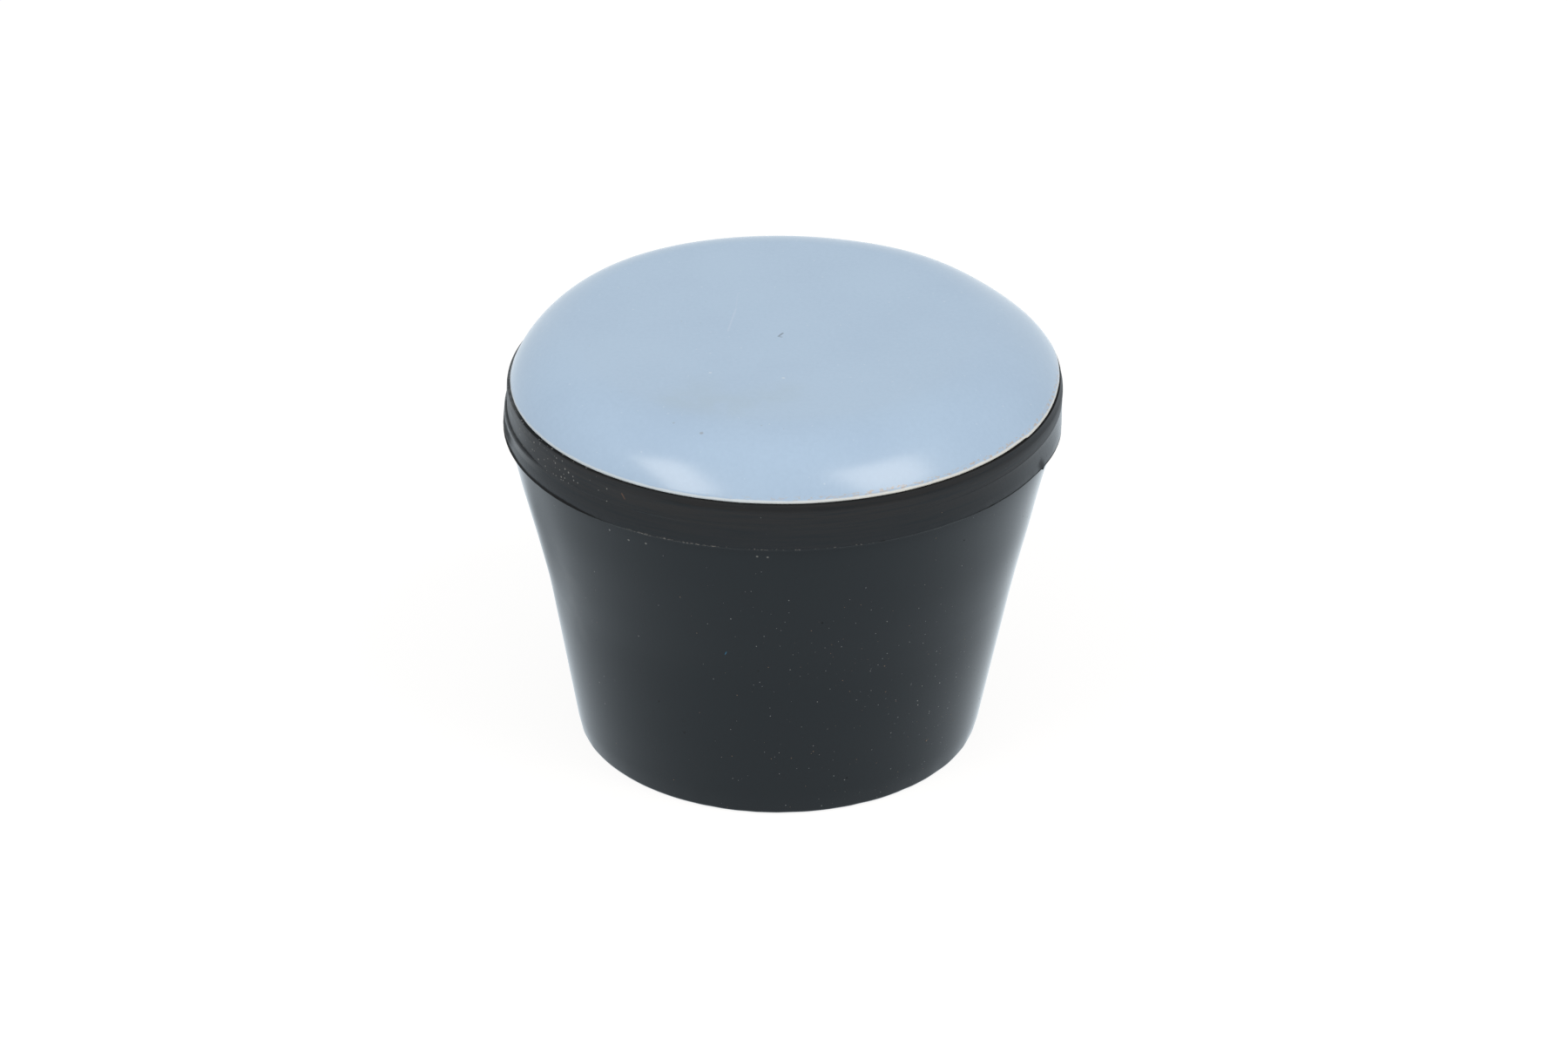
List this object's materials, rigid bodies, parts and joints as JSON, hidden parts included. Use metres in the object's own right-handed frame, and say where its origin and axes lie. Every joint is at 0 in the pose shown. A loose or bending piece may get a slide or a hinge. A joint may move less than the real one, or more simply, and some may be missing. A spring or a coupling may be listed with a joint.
{
  "type": "chair leg glide",
  "caption": "Slip-on glide for a round chair leg: a tapered rubber cap with a blind socket, topped by a low-friction domed sliding face.",
  "frame": {"origin": "centre of the socket's mouth, on the flat ring that the glide stands on", "axes": "+Z along the socket's axis, out of the sliding face; the leg goes in from -Z"},
  "size_m": [0.0362, 0.0362, 0.0282],
  "materials": {
    "rubber": "moulded black rubber, satin, dusty",
    "sliding_plastic": "pale blue-grey, waxy, matte"
  },
  "bodies": {
    "root": {"rubber_cap": "rubber", "glide_face": "sliding_plastic"}
  },
  "joints": []
}
